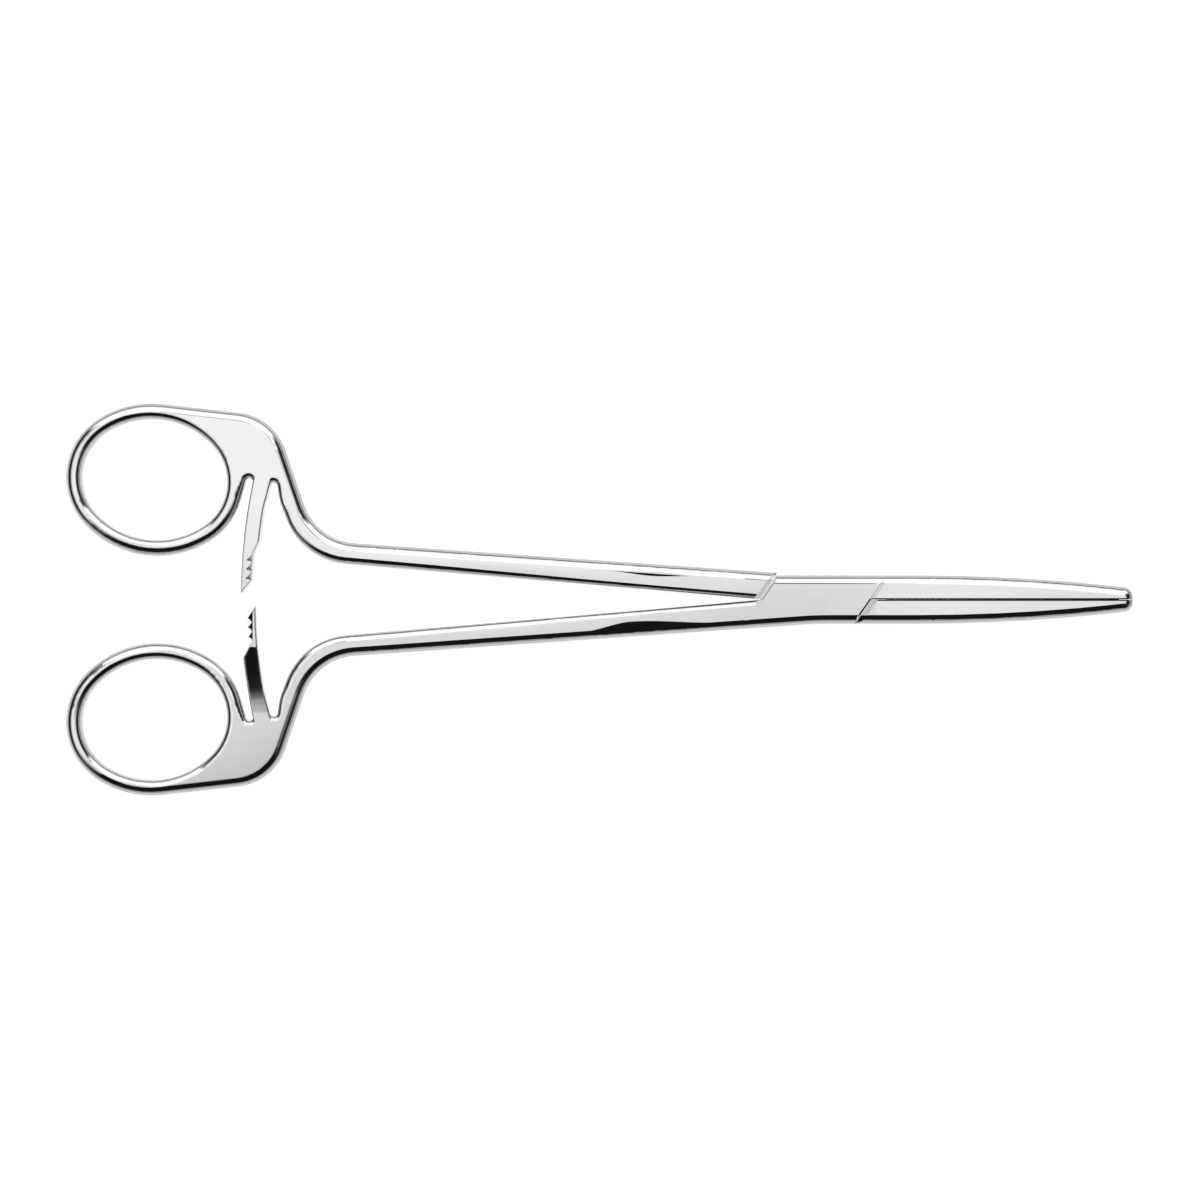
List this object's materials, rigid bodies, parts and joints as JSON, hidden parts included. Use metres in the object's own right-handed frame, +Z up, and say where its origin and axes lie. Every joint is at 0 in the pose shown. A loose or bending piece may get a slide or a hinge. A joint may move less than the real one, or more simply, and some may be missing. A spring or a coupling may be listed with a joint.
{
  "type": "vascular clamp",
  "caption": "Straight ring-handled locking clamp with a box lock, a toothed ratchet between the handles and slim tapering jaws with cross serrations.",
  "frame": {"origin": "middle of the closed clamp's bounding box, on the level surface that the box lock lies on", "axes": "+X along the clamp towards the jaw tips, +Y across towards the tongue half's finger ring, +Z up from the flat side it lies on"},
  "size_m": [0.1798, 0.0662, 0.005],
  "materials": {
    "box_half_steel": "mirror-polished stainless steel",
    "tongue_half_steel": "mirror-polished stainless steel",
    "pin_steel": "ground flush and polished with the box"
  },
  "bodies": {
    "box_body": {"box_half": "box_half_steel", "box_pin": "pin_steel"},
    "tongue_body": {"tongue_half": "tongue_half_steel"}
  },
  "joints": [
    {"name": "box_lock", "type": "hinge", "parent": "box_body", "child": "tongue_body", "pos_m": [0.03631, 0, 0.0025], "axis": [0, 0, -1], "range_deg": [0, 50]}
  ]
}
